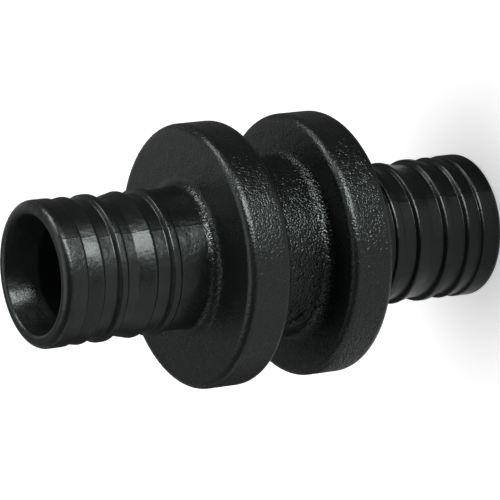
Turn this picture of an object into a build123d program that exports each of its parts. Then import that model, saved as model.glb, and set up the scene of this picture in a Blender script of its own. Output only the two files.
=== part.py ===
"""Straight coupling for plastic pipe, moulded in one piece.

Two barbed spigots, one at each end, take a pipe whose wall is pressed down over
them by a sliding sleeve.  Two thick collars part the spigots: the jaws of the
pressing tool sit in the gap between the collars and bear on their inner faces.

The coupling stands on one spigot.  The origin is the centre of that end face and
+Z runs along the bore, so the XY plane is what it stands on.  The mould parts in
the XZ plane.
"""
import os
from math import ceil, copysign, radians, tan

from build123d import *

# Collars, millimetres
collar_diameter = 32.0
collar_thickness = 5.85
collar_gap = 8.25
collar_edge_radius = 1.05

# Spigots
spigot_length = 20.4       # end face to collar face
crest_diameter = 17.6      # over the barbs and rings, which the pipe grips
root_diameter = 16.5       # between them
neck_diameter = 17.0       # plain stretch beside the collar
neck_fillet = 1.8

# What follows each other along a spigot, measured from its end face
end_land_end = 2.95
first_barb_end = 5.25
first_ring_start = 7.0
first_ring_end = 8.4
second_barb_start = 9.8
second_barb_end = 12.3
second_ring_start = 14.05
second_ring_end = 15.4
first_barb_step = 0.35     # drop from the end land to the start of the first barb
ring_slope = 0.3           # length of a ring's sloping front
back_slope = 0.1           # length of the steep back of a land, barb or ring
end_outer_radius = 0.95    # of the end face's outer edge
end_inner_radius = 0.6     # of the edge between the end face and the bore's cone

# Waist between the collars
waist_diameter = 21.8
waist_fillet = 1.2

# Bore, with a cone at each mouth
bore_diameter = 11.4
mouth_diameter = 14.2
lead_in_depth = 3.9

# Gate well in the waist, where the plastic entered the mould
gate_angle = -77.0         # degrees about +Z from +X
gate_well_diameter = 5.0
gate_well_depth = 0.7
gate_stub_diameter = 2.2
gate_stub_height = 0.5

radius_per_chord = 0.45    # a rounding gets one straight cut for each such part of its radius

# Worked out from the above
collar_radius = collar_diameter / 2
crest_radius = crest_diameter / 2
root_radius = root_diameter / 2
neck_radius = neck_diameter / 2
waist_radius = waist_diameter / 2
bore_radius = bore_diameter / 2
collar_end = spigot_length + collar_thickness
middle = collar_end + collar_gap / 2

# Corners of one half's section as (radius, height, rounding), from the middle of
# the bore, out of its mouth and back along the outside to the middle of the waist
half_outline = [
    (bore_radius, middle, 0),
    (bore_radius, lead_in_depth, 0),
    (mouth_diameter / 2, 0, end_inner_radius),
    (crest_radius, 0, end_outer_radius),
    (crest_radius, end_land_end, 0),
    (crest_radius - first_barb_step, end_land_end + back_slope, 0),
    (crest_radius, first_barb_end, 0),
    (root_radius, first_barb_end + back_slope, 0),
    (root_radius, first_ring_start, 0),
    (crest_radius, first_ring_start + ring_slope, 0),
    (crest_radius, first_ring_end, 0),
    (root_radius, first_ring_end + back_slope, 0),
    (root_radius, second_barb_start, 0),
    (crest_radius, second_barb_end, 0),
    (root_radius, second_barb_end + back_slope, 0),
    (root_radius, second_ring_start, 0),
    (crest_radius, second_ring_start + ring_slope, 0),
    (crest_radius, second_ring_end, 0),
    (neck_radius, second_ring_end + back_slope, 0),
    (neck_radius, spigot_length, neck_fillet),
    (collar_radius, spigot_length, collar_edge_radius),
    (collar_radius, collar_end, collar_edge_radius),
    (waist_radius, collar_end, waist_fillet),
    (waist_radius, middle, 0),
]


def rounded_outline(outline):
    """Give the points of a closed outline whose corners are rounded by straight chords."""
    points = []
    for index, (radius, height, rounding) in enumerate(outline):
        corner = Vector(radius, height)
        if rounding == 0:
            points.append(corner)
            continue
        arriving = (corner - Vector(outline[index - 1][:2])).normalized()
        leaving = (Vector(outline[index + 1][:2]) - corner).normalized()
        turn = arriving.get_signed_angle(leaving, Vector(0, 0, 1))
        start = corner - arriving * rounding * tan(radians(abs(turn)) / 2)
        centre = start + arriving.rotate(Axis.Z, copysign(90, turn)) * rounding
        chords = ceil(rounding / radius_per_chord)
        for chord_end in range(chords + 1):
            points.append(centre + (start - centre).rotate(Axis.Z, turn * chord_end / chords))
    return points


# The gate well's plane touches the waist
gate_direction = Vector(1, 0, 0).rotate(Axis.Z, gate_angle)
gate_plane = Plane(
    origin=gate_direction * waist_radius + Vector(0, 0, middle),
    x_dir=(0, 0, 1),
    z_dir=gate_direction,
)

with BuildPart() as coupling_body:
    # One half of the section is turned about the axis, then mirrored into the whole
    with BuildSketch(Plane.XZ):
        with BuildLine():
            Polyline(*rounded_outline(half_outline), close=True)
        make_face()
    revolve(axis=Axis.Z)
    mirror(about=Plane.XY.offset(middle))

    # Gate well, cut from outside the waist down to its flat floor
    with BuildSketch(gate_plane.offset(-gate_well_depth)):
        Circle(gate_well_diameter / 2)
    extrude(amount=2 * gate_well_depth, mode=Mode.SUBTRACT)

    # Gate stub, left standing in the well below the waist's surface
    with BuildSketch(gate_plane.offset(-gate_well_depth)):
        Circle(gate_stub_diameter / 2)
    extrude(amount=gate_stub_height)

coupling_body.part.label = "coupling_body"

os.makedirs("parts", exist_ok=True)
export_step(coupling_body.part, "parts/coupling_body.step")
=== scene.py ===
"""The pipe coupling as one moulded piece, on a plain pale floor in soft studio light.

The coupling stands on one spigot, with its bore along +Z. Azimuths and headings are
turned about +Z from +X, and the mould's halves part at the azimuths 0 and 180.
"""

from collections import namedtuple
from math import acos, atan2, cos, degrees, exp, hypot, pi, radians, sin, tan

import bmesh
import bpy
import numpy as np
from mathutils import Matrix, Vector, noise


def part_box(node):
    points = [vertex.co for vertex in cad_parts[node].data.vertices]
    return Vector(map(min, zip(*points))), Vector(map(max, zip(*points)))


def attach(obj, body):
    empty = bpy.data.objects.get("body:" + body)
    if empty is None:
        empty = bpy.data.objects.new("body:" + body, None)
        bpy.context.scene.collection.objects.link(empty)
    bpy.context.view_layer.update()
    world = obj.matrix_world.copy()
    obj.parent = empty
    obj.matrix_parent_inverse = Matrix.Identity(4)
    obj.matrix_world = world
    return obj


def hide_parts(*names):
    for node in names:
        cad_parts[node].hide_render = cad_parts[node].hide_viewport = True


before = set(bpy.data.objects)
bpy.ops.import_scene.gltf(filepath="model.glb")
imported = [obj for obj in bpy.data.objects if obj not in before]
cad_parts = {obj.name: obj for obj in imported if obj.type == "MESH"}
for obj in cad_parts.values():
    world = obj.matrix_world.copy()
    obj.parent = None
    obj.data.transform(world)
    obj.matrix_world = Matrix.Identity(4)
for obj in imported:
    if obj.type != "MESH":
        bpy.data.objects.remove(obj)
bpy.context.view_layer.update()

body_low, body_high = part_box("coupling_body")
scene = bpy.context.scene
MM = 0.001

# ---------------------------------------------------------------- dimensions, in mm
length = (body_high.z - body_low.z) / MM
middle = length / 2

# bore, with a cone at each mouth
bore_radius = 5.7
mouth_radius = 7.25
lead_in_depth = 3.9
cone_rounding = 1.0
mouth_rounding = 0.45

# spigot: radii of what the pipe grips, of the roots between, and of both ends of the neck
crest_radius = 8.8
root_radius = 8.25
neck_start_radius = 8.42
neck_end_radius = 8.6

# what follows each other along a spigot, measured from its end face
land_end = 2.95
first_barb_end = 5.03
first_ring_start, first_ring_end = 7.0, 8.18
second_barb_start, second_barb_end = 9.8, 12.08
second_ring_start, second_ring_end = 14.05, 15.4
first_barb_step = 0.35      # drop from the land to the start of the first barb
ring_slope = 0.3            # length of a ring's sloping front
back_slope = 0.33           # length of the back of a barb and of the first ring
steep_slope = 0.1           # length of the back of the land and of the second ring

end_rounding = 0.95         # of the end face's outer edge
crest_rounding = 0.34
root_rounding = 0.08
steep_root_rounding = 0.07
barb_foot_rounding = 0.4
ring_foot_rounding = 0.2
ring_front_rounding = 0.25

# collars, and the waist between them
collar_radius = 15.99       # a hair inside the solid's
collar_start, collar_end = 20.4, 26.25
collar_edge_rounding = 1.05
neck_fillet = 1.25
waist_radius = 10.9
waist_fillet = 1.2

# gate well in the waist, with the torn stub in it and a deep short groove beside the stub
gate_angle = radians(-77.0)
gate_radius, gate_depth = 2.5, 0.34
gate_wall = 0.18            # width over which the well's edge falls to its floor
stub_radius, stub_height = 1.0, 0.16
groove_radius, groove_width, groove_depth = 1.8, 0.22, 1.0
groove_down, groove_back = 0.85, 0.53       # its way from the stub: down, and to lower azimuths

# the mould's parting line
flash_height, flash_width = 0.02, 0.09
half_step = 0.014           # how much smaller the one mould half is

# how strongly each stretch carries the mould's spark-eroded grain
SATIN, FACE_GRAIN, EDGE_GRAIN, NECK_GRAIN = 0.0, 0.4, 0.5, 0.5
RIM_GRAIN, FULL_GRAIN = 0.9, 1.0
WORN_SHARE = 0.72           # what the upper collar's rim has of that

# distances between the section's points along its straight stretches
beside_fillet = 0.09
bore_spacing, waist_spacing, plain_spacing = 4.0, 0.13, 1.3

# angles between the section's copies round the axis, in degrees
plain_turn = 2.0
gate_turn, gate_copies = 0.6, 27            # copies on each side of the gate well's middle
seam_turns = (-1.3, -0.75, -0.4, -0.2, 0.05, 0.2, 0.5, 0.9, 1.3)

# a corner of the section, with the grain on it and on the stretch after it
Corner = namedtuple("Corner", "radius height rounding grain grain_after", defaults=(SATIN, SATIN))

# the lower half, from the middle of the bore, round the mouth and along the outside to the waist
half_outline = [
    Corner(bore_radius, lead_in_depth, cone_rounding),
    Corner(mouth_radius, 0.0, mouth_rounding),
    Corner(crest_radius, 0.0, end_rounding),
    Corner(crest_radius, land_end, crest_rounding),
    Corner(crest_radius - first_barb_step, land_end + steep_slope, steep_root_rounding),
    Corner(crest_radius, first_barb_end, crest_rounding),
    Corner(root_radius, first_barb_end + back_slope, root_rounding),
    Corner(root_radius, first_ring_start, ring_foot_rounding),
    Corner(crest_radius, first_ring_start + ring_slope, ring_front_rounding),
    Corner(crest_radius, first_ring_end, crest_rounding),
    Corner(root_radius, first_ring_end + back_slope, root_rounding),
    Corner(root_radius, second_barb_start, barb_foot_rounding),
    Corner(crest_radius, second_barb_end, crest_rounding),
    Corner(root_radius, second_barb_end + back_slope, root_rounding),
    Corner(root_radius, second_ring_start, ring_foot_rounding),
    Corner(crest_radius, second_ring_start + ring_slope, ring_front_rounding),
    Corner(crest_radius, second_ring_end, crest_rounding),
    Corner(neck_start_radius, second_ring_end + steep_slope, steep_root_rounding),
    Corner(neck_end_radius, collar_start, neck_fillet, NECK_GRAIN, FACE_GRAIN),
    Corner(collar_radius, collar_start, collar_edge_rounding, EDGE_GRAIN, RIM_GRAIN),
    Corner(collar_radius, collar_end, collar_edge_rounding, EDGE_GRAIN, FACE_GRAIN),
    Corner(waist_radius, collar_end, waist_fillet, FULL_GRAIN, FULL_GRAIN),
]


def new_object(name, data):
    """A new object in the scene."""
    thing = bpy.data.objects.new(name, data)
    scene.collection.objects.link(thing)
    return thing


def store(mesh, name, values):
    """Give each point of a mesh a number, which its material reads by this name."""
    attribute = mesh.attributes.new(name, "FLOAT", "POINT")
    attribute.data.foreach_set("value", np.ravel(values).astype(np.float32))


def smooth_step(low, high, x):
    """0 up to the low value of x, 1 from the high one on, and a smooth rise between."""
    t = np.clip((x - low) / (high - low), 0, 1)
    return t * t * (3 - 2 * t)


def smooth_fall(low, high, x):
    """1 up to the low value of x, 0 from the high one on, and a smooth fall between."""
    return 1 - smooth_step(low, high, x)


# ---------------------------------------------------------------- shell
def chord_angle(rounding):
    """How far one chord of a fillet turns, in degrees: the smaller the fillet, the further."""
    if rounding > 0.6:
        return 11
    if rounding > 0.1:
        return 15
    return 22


def arc_points(before, corner, after, rounding):
    """Points of the fillet that rounds one corner of the section."""
    to_before = (before - corner).normalized()
    to_after = (after - corner).normalized()
    opening = acos(max(-1.0, min(1.0, to_before.dot(to_after))))
    back = rounding / tan(opening / 2)
    start, end = corner + to_before * back, corner + to_after * back
    centre = corner + (to_before + to_after).normalized() * (rounding / sin(opening / 2))
    chords = max(3, round(degrees(pi - opening) / chord_angle(rounding)))
    points = []
    for k in range(chords + 1):
        outward = (start - centre).slerp(end - centre, k / chords).normalized()
        points.append(centre + outward * rounding)
    return points


def straight_points(start, end):
    """Points between two fillets: one close to each, and the rest evenly spread."""
    run = (end - start).length
    if run < 2.5 * beside_fillet:
        return []
    if max(start.x, end.x) < bore_radius + 0.1:
        spacing = bore_spacing
    elif max(abs(start.x - waist_radius), abs(end.x - waist_radius)) < 0.01:
        spacing = waist_spacing
    else:
        spacing = plain_spacing
    along = (end - start) / run
    inner_run = run - 2 * beside_fillet
    count = max(1, round(inner_run / spacing))
    return [start + along * (beside_fillet + inner_run * k / count) for k in range(count + 1)]


def section():
    """The whole closed section: its points (radius, height), and the grain at each."""
    upper_half = [corner._replace(height=length - corner.height) for corner in reversed(half_outline)]
    corners = half_outline + upper_half
    # a stretch of the upper half has its mirror image's grain, and the bore has none
    lower_stretches = [corner.grain_after for corner in half_outline]
    stretch_grains = lower_stretches + lower_stretches[-2::-1] + [SATIN]
    places = [Vector((corner.radius, corner.height)) for corner in corners]
    arcs = []
    for k, corner in enumerate(corners):
        before, after = places[k - 1], places[(k + 1) % len(places)]
        arcs.append(arc_points(before, places[k], after, corner.rounding))
    points, grains = [], []
    for k, arc in enumerate(arcs):
        between = straight_points(arc[-1], arcs[(k + 1) % len(arcs)][0])
        points += arc + between
        grains += [corners[k].grain] * len(arc) + [stretch_grains[k]] * len(between)
    return points, grains


def refined(angles, place, reach, turns):
    """The angles in degrees, with all within reach of a place swapped for these turns from it."""
    kept = {angle for angle in angles if abs((angle - place + 180) % 360 - 180) > reach}
    return kept | {round((place + turn) % 360, 3) for turn in turns}


def section_azimuths():
    """Azimuths of the section's copies, closer together at the gate well and the seams."""
    angles = {plain_turn * k for k in range(round(360 / plain_turn))}
    gate_turns = [gate_turn * k for k in range(-gate_copies, gate_copies + 1)]
    angles = refined(angles, degrees(gate_angle) % 360, gate_turn * (gate_copies + 0.5), gate_turns)
    for seam in (0, 180):
        angles = refined(angles, seam, seam_turns[-1] + 0.1, seam_turns)
    return np.radians(sorted(angles))


def parting_line(r, z, a):
    """How far the parting line moves the outside at each point.

    A broken flash runs along both seams, as a ridge on the spigots and the waist and as a
    groove on the collars. One mould half is a touch smaller, which leaves a step.
    """
    from_seam = np.abs((a + pi / 2) % pi - pi / 2) * r
    broken = 0.5 + 0.5 * np.sin(1.9 * z) * np.sin(0.83 * z + 1.0)
    flash = flash_height * broken * np.exp(-((from_seam / flash_width) ** 2))
    on_collars = r > waist_radius + 1.0
    flash = np.where(on_collars, -0.5 * flash, flash)
    step = half_step * smooth_step(0.0, 0.05, np.sin(a)) * np.abs(np.cos(a))
    off_ends = smooth_step(0.3, 1.0, np.minimum(z, length - z))
    outside = r > mouth_radius + 0.8
    return np.where(outside, (flash - step) * off_ends, 0)


def lumps(x, y, scale, height, layer):
    """Smooth noise up to a height, with lumps of about 1 / scale. Each layer differs."""
    return height * noise.noise(Vector((x * scale, y * scale, layer)))


def gate_surface(x, y, wall):
    """Radius of the surface in the gate well and just round it.

    x runs up and y round +Z from the well's middle, in mm, and wall is the radius that the
    waist has there without the well.
    """
    out = hypot(x, y)
    along_groove = (-groove_down * x - groove_back * y) / max(out, 0.01)
    groove = exp(-(((out - groove_radius) / groove_width) ** 2)) * smooth_step(0.8, 0.95, along_groove)
    # a flat floor under the waist's curve, but rough and torn
    floor = (waist_radius - gate_depth - groove_depth * groove) / cos(y / waist_radius)
    floor += lumps(x, y, 2.2, 0.1, layer=4) + lumps(x, y, 5.5, 0.06, layer=9)
    stub = smooth_fall(stub_radius - 0.2, stub_radius + 0.12, out + lumps(x, y, 1.7, 0.35, layer=2))
    floor += (stub_height + lumps(x, y, 3.1, 0.2, layer=7)) * stub
    floor = min(floor, waist_radius - 0.05)
    edge = out - gate_radius + lumps(x, y, 1.5, 0.12, layer=5)
    outside = smooth_step(-gate_wall, 0.0, edge)
    return floor * (1 - outside) + wall * outside


def turned_mesh(name, r, z, a):
    """A smooth closed mesh through a grid of points: radius, height and azimuth, in mm.

    The grid's rows follow the section and its columns go round the axis, and it closes
    both ways.
    """
    rows, columns = r.shape
    index = np.arange(rows * columns).reshape(rows, columns)
    beside, onward = np.roll(index, -1, axis=1), np.roll(index, -1, axis=0)
    faces = np.stack([index, beside, np.roll(onward, -1, axis=1), onward], axis=-1)
    places = np.stack([r * np.cos(a), r * np.sin(a), z], axis=-1) * MM
    mesh = bpy.data.meshes.new(name)
    mesh.from_pydata(places.reshape(-1, 3).tolist(), [], faces.reshape(-1, 4).tolist())
    bm = bmesh.new()
    bm.from_mesh(mesh)
    bmesh.ops.recalc_face_normals(bm, faces=bm.faces)
    bm.to_mesh(mesh)
    bm.free()
    mesh.shade_smooth()
    return mesh


def build_shell():
    """The section turned about the bore's axis, with its parting line and its gate well."""
    points, grains = section()
    angles = section_azimuths()
    a, r = np.meshgrid(angles, [point.x for point in points])
    _, z = np.meshgrid(angles, [point.y for point in points])
    _, grain = np.meshgrid(angles, grains)
    r = r + parting_line(r, z, a)
    # the upper collar's rim came from a smoother patch of the mould
    on_upper_rim = (z > length - collar_end + 0.3) & (r > waist_radius + 3)
    grain = np.where(on_upper_rim, WORN_SHARE, 1.0) * grain

    from_gate = ((a - gate_angle + pi) % (2 * pi) - pi) * waist_radius
    from_edge = np.hypot(z - middle, from_gate) - gate_radius
    near_gate = (from_edge < 0.5) & (r > bore_radius + 2)
    in_well = np.where(near_gate, smooth_fall(-0.2, 0.1, from_edge), 0)
    for place in zip(*np.nonzero(near_gate)):
        r[place] = gate_surface(z[place] - middle, from_gate[place], r[place])

    mesh = turned_mesh("coupling", r, z, a)
    store(mesh, "grain", grain)
    store(mesh, "gate", in_well)
    return new_object("coupling", mesh)


# ---------------------------------------------------------------- materials
class Nodes:
    """Shorthand for building the node tree of a material or of the world."""

    def __init__(self, owner):
        owner.use_nodes = True
        self.tree = owner.node_tree
        self.tree.nodes.clear()

    def add(self, kind, **settings):
        """A new node, with some of its settings."""
        node = self.tree.nodes.new(kind)
        for name, value in settings.items():
            setattr(node, name, value)
        return node

    def put(self, value, socket):
        """Link another node's output to a socket, or set the socket to a plain value."""
        if isinstance(value, bpy.types.NodeSocket):
            self.tree.links.new(value, socket)
        else:
            socket.default_value = value

    def fill(self, node, **values):
        """Put values in a node's sockets, named as the sockets are, with _ for a space."""
        for name, value in values.items():
            self.put(value, node.inputs[name.replace("_", " ")])
        return node

    def output(self, kind, shader):
        """End the tree in an output node that shows a shader."""
        self.fill(self.add(kind), Surface=shader.outputs[0])

    def attribute(self, name):
        return self.add("ShaderNodeAttribute", attribute_name=name).outputs["Fac"]

    def noise(self, place, scale, detail=3.0, roughness=0.6):
        node = self.add("ShaderNodeTexNoise")
        self.fill(node, Vector=place, Scale=scale, Detail=detail, Roughness=roughness)
        return node.outputs["Fac"]

    def math(self, operation, *values):
        node = self.add("ShaderNodeMath", operation=operation)
        for value, socket in zip(values, node.inputs):
            self.put(value, socket)
        return node.outputs[0]

    def spread(self, value, low, high, to_low, to_high):
        """A value carried over from one range to another, and held at its ends."""
        node = self.add("ShaderNodeMapRange")
        self.fill(node, Value=value, From_Min=low, From_Max=high, To_Min=to_low, To_Max=to_high)
        return node.outputs[0]

    def wander(self, noise, to_low, to_high):
        """Noise, which mostly lies between 0.3 and 0.7, carried over to another range."""
        return self.spread(noise, 0.3, 0.7, to_low, to_high)

    def bump(self, height, depth, strength, under=None):
        """Normals of a bumpy surface, laid over those of the one under it."""
        node = self.add("ShaderNodeBump")
        self.fill(node, Height=height, Distance=depth, Strength=strength)
        if under is not None:
            self.put(under, node.inputs["Normal"])
        return node.outputs["Normal"]

    def mix(self, factor, one, two):
        """A mix of two plain numbers or, as four numbers each, of two colours."""
        is_colour = isinstance(one, tuple)
        node = self.add("ShaderNodeMix", data_type="RGBA" if is_colour else "FLOAT")
        first = 6 if is_colour else 2       # the node keeps its colours after its numbers
        self.put(factor, node.inputs["Factor"])
        self.put(one, node.inputs[first])
        self.put(two, node.inputs[first + 1])
        return node.outputs[2 if is_colour else 0]


def moulded_plastic():
    """Black plastic with a spark-eroded grain or a satin skin, as the shell's points say."""
    material = bpy.data.materials.new("black_plastic")
    n = Nodes(material)
    place = n.add("ShaderNodeTexCoord").outputs["Object"]
    grain, gate = n.attribute("grain"), n.attribute("gate")

    # spark-eroded grain: small domes a quarter of a millimetre apart, of mixed height
    cells = n.fill(n.add("ShaderNodeTexVoronoi"), Vector=place, Scale=4000)
    apart = cells.outputs["Distance"]
    uneven = n.wander(n.noise(place, scale=2100, detail=1.0, roughness=0.5), 0.4, 1.3)
    domes = n.math("MULTIPLY", n.math("MULTIPLY", apart, apart), uneven)
    pits = n.noise(place, scale=5200, detail=2.0, roughness=0.5)
    eroded = n.math("MULTIPLY_ADD", pits, 0.25, n.math("SUBTRACT", 1.0, domes))
    normal = n.bump(eroded, depth=0.1 * MM, strength=grain)

    # satin skin: slow waves and a fine polish
    satin = n.math("SUBTRACT", 1.0, grain)
    waves = n.noise(place, scale=500, detail=2.0, roughness=0.5)
    polish = n.noise(place, scale=2600)
    normal = n.bump(waves, depth=0.12 * MM, strength=satin, under=normal)
    normal = n.bump(polish, depth=0.03 * MM, strength=satin, under=normal)

    # torn plastic in the gate well
    torn = n.noise(place, scale=2400)
    normal = n.bump(torn, depth=0.18 * MM, strength=gate, under=normal)

    # gloss and colour wander a little, in patches of a few millimetres
    patches = n.noise(place, scale=210)
    satin_roughness = n.wander(patches, 0.27, 0.38)
    grain_roughness = n.wander(pits, 0.26, 0.17)
    colour = n.mix(patches, (0.0072, 0.0081, 0.0080, 1), (0.0086, 0.0096, 0.0094, 1))
    shader = n.fill(
        n.add("ShaderNodeBsdfPrincipled"),
        Base_Color=colour,
        Roughness=n.mix(grain, satin_roughness, grain_roughness),
        Normal=normal,
        IOR=1.5,
        Specular_IOR_Level=0.22,
        Specular_Tint=(0.9, 1.0, 0.975, 1),
    )
    n.output("ShaderNodeOutputMaterial", shader)
    return material


def floor_material(name, shade_name=None):
    """Matt white, with a glow that the camera and reflections see.

    shade_name is for a mesh whose points have numbers that darken it, and names them.
    """
    floor_white = 0.86
    own_glow = 0.4
    near_glow, far_glow = 0.1, 0.6
    near_reach, far_reach = 0.25, 1.2
    material = bpy.data.materials.new(name)
    n = Nodes(material)
    shade, white = 1.0, (floor_white, floor_white, floor_white, 1)
    if shade_name:
        shade = n.attribute(shade_name)
        white = n.math("MULTIPLY", shade, floor_white)
    paint = n.fill(n.add("ShaderNodeBsdfDiffuse"), Color=white)
    rays = n.add("ShaderNodeLightPath").outputs
    mirrored = n.math("MAXIMUM", rays["Is Glossy Ray"], rays["Is Transmission Ray"])
    shown = n.math("MAXIMUM", rays["Is Camera Ray"], mirrored)
    # seen by the camera the floor grows lighter far out, where the lamps no longer reach
    place = n.add("ShaderNodeTexCoord").outputs["Object"]
    from_middle = n.add("ShaderNodeVectorMath", operation="LENGTH")
    n.put(place, from_middle.inputs[0])
    more_glow = n.spread(from_middle.outputs["Value"], near_reach, far_reach, near_glow, far_glow)
    seen_glow = n.math("MULTIPLY", rays["Is Camera Ray"], more_glow)
    strength = n.math("MULTIPLY", n.math("MULTIPLY_ADD", shown, own_glow, seen_glow), shade)
    glow = n.fill(n.add("ShaderNodeEmission"), Color=(1, 1, 1, 1), Strength=strength)
    both = n.add("ShaderNodeAddShader")
    n.put(paint.outputs[0], both.inputs[0])
    n.put(glow.outputs[0], both.inputs[1])
    n.output("ShaderNodeOutputMaterial", both)
    return material


# ---------------------------------------------------------------- the dressed part
coupling = build_shell()
coupling.data.materials.append(moulded_plastic())
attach(coupling, "root")
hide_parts("coupling_body")


# ---------------------------------------------------------------- studio, in metres
def build_floor():
    """A plain square floor."""
    reach = 3.0
    corners = [(-reach, -reach, 0), (reach, -reach, 0), (reach, reach, 0), (-reach, reach, 0)]
    mesh = bpy.data.meshes.new("floor")
    mesh.from_pydata(corners, [], [(0, 1, 2, 3)])
    mesh.materials.append(floor_material("studio_floor"))
    floor = new_object("floor", mesh)


def build_surround():
    """A world that is white to the camera, and a dim light on everything else."""
    dim, white = 0.2, 1.0
    scene.world = bpy.data.worlds.new("studio")
    n = Nodes(scene.world)
    rays = n.add("ShaderNodeLightPath").outputs
    strength = n.spread(rays["Is Camera Ray"], 0, 1, dim, white)
    surround = n.fill(n.add("ShaderNodeBackground"), Color=(1, 1, 1, 1), Strength=strength)
    n.output("ShaderNodeOutputWorld", surround)


def area_lamp(name, place, aim, size, power):
    """A rectangular lamp that the camera doesn't see."""
    lamp = bpy.data.lights.new(name, "AREA")
    lamp.shape = "RECTANGLE"
    lamp.size, lamp.size_y = size
    lamp.energy = power
    holder = new_object(name, lamp)
    holder.location = place
    holder.rotation_mode = "QUATERNION"
    holder.rotation_quaternion = (Vector(aim) - Vector(place)).to_track_quat("-Z", "Y")
    holder.visible_camera = False
    return holder


def highlight_lamp(name, place, aim, size, power):
    """A lamp that shows in the plastic's reflections, and gives no plain light."""
    area_lamp(name, place, aim, size, power).visible_diffuse = False


def build_lamps():
    """A broad lamp overhead, five that draw the highlights, and a weak one behind."""
    area_lamp("overhead", (-0.1, 0.1, 0.9), (0, 0, 0.03), (0.9, 0.9), 6.5)
    # on the +X side: a strip, its bright core, and a patch above them
    highlight_lamp("strip", (0.15, 0.0045, 0.036), (0, 0.0045, 0.036), (0.101, 0.062), 0.147)
    highlight_lamp("strip_core", (0.151, 0.008, 0.034), (0, 0.008, 0.034), (0.07, 0.05), 0.21)
    highlight_lamp("strip_top", (0.15, 0.036, 0.082), (0, 0.036, 0.082), (0.034, 0.03), 0.32)
    # a low band on the -Y side, and one high up on the +Y side
    highlight_lamp("front", (-0.043, -0.246, 0.042), (0, 0, 0.042), (0.5, 0.08), 0.13)
    highlight_lamp("side", (0.13, 0.38, 0.33), (0, 0, 0.03), (0.2, 0.19), 2.1)
    area_lamp("behind", (-0.075, 0.075, 0.085), (0, 0.008, 0.04), (0.06, 0.06), 0.005)


def floor_place(azimuth, distance):
    """Where a floor point lies that is this far from the bore's axis."""
    return distance * cos(radians(azimuth)), distance * sin(radians(azimuth))


def heading(x, y, wall_azimuth):
    """Heading of a floor point, in degrees, seen from the spigot's wall at an azimuth."""
    wall_x, wall_y = floor_place(wall_azimuth, crest_radius * MM)
    return degrees(atan2(y - wall_y, x - wall_x))


def painted_reflection_shade(azimuth, distance):
    """How light the glowing reflection card is at a floor point, which the plastic shows as painted
    reflection: 0 is black, 1 is white.

    The card is white at headings from about -85 to 25 degrees, dark from there to 150, and
    grey the rest of the way round: lighter near the coupling, and darker next to the dark part.
    """
    # painted shade in the reflections: the dark part stands for a dark room behind the coupling, the
    # grey for a dimmer one beside it
    dark_shade, near_shade = 0.12, 0.8
    far_shade, far_drop = 0.4, 0.34
    pool_shade = 0.75
    glint_x, glint_y, glint_radius = -0.0027, 0.0173, 0.0028
    x, y = floor_place(azimuth, distance)
    from_low = from_seam = azimuth
    if -140 < azimuth < 60:
        # the borders of the white part are rays from the spigot's wall
        from_low, from_seam = heading(x, y, -55), heading(x, y, 0)
    white = smooth_step(-93, -80, from_low) * smooth_fall(22, 28, from_seam)
    dark = smooth_step(22, 28, from_seam)
    near = smooth_fall(0.03, 0.045, distance)
    far_shade -= far_drop * smooth_fall(-150, -100, azimuth)
    grey_shade = far_shade + (near_shade - far_shade) * near
    # a painted pool of light on the -Y side, and a painted glint that the lower spigot's first ring
    # mirrors as a painted highlight
    painted_pool = smooth_step(-150, -110, azimuth) * smooth_fall(-50, -10, azimuth)
    painted_pool *= smooth_step(0.06, 0.085, distance) * smooth_fall(0.12, 0.15, distance)
    painted_glint = exp(-((hypot(x - glint_x, y - glint_y) / glint_radius) ** 2))
    return white + dark_shade * dark + grey_shade * (1 - white - dark) + pool_shade * painted_pool + painted_glint


def build_reflection_card():
    """A glowing card on the floor round the coupling, seen only in the plastic's reflections, as
    painted reflection.
    """
    height = 0.4 * MM
    azimuths = range(-210, 150, 4)
    # rings of points, close together where the shade changes most
    distances = [
        0.0087, 0.011, 0.014, 0.0155, 0.0175, 0.02, 0.023, 0.026, 0.032, 0.038, 0.045,
        0.055, 0.065, 0.075, 0.085, 0.1, 0.12, 0.135, 0.15, 0.3, 0.6,
    ]
    points, shades = [], []
    for distance in distances:
        for azimuth in azimuths:
            points.append((*floor_place(azimuth, distance), height))
            shades.append(painted_reflection_shade(azimuth, distance))
    around = len(azimuths)
    faces = []
    for ring in range(len(distances) - 1):
        for k in range(around):
            here, beside = ring * around + k, ring * around + (k + 1) % around
            faces.append((here, beside, beside + around, here + around))
    mesh = bpy.data.meshes.new("reflection_card")
    mesh.from_pydata(points, [], faces)
    store(mesh, "shade", shades)
    mesh.materials.append(floor_material("reflection_card", "shade"))
    card = new_object("reflection_card", mesh)
    # the card glows though it is no lamp; what the plastic mirrors of it is painted light and shade
    card.visible_camera = card.visible_shadow = card.visible_diffuse = False


build_floor()
build_surround()
build_lamps()
build_reflection_card()
scene.view_settings.view_transform = "Standard"

# ---------------------------------------------------------------- camera
camera_aim = Vector((-0.27, 0.02, middle + 0.515)) * MM
azimuth, elevation, camera_roll = radians(-24.582), radians(30.087), radians(96.795)
camera_distance = 0.4627
away = Vector((cos(azimuth) * cos(elevation), sin(azimuth) * cos(elevation), sin(elevation)))
upright = (-away).to_track_quat("-Z", "Y")
roll = Matrix.Rotation(-camera_roll, 3, "Z").to_quaternion()
camera = new_object("camera", bpy.data.cameras.new("camera"))
camera.location = camera_aim + away * camera_distance
camera.rotation_mode = "QUATERNION"
camera.rotation_quaternion = upright @ roll
camera.data.sensor_width = 36.0
camera.data.lens = 275.75
camera.data.clip_start, camera.data.clip_end = 0.01, 20
scene.camera = camera
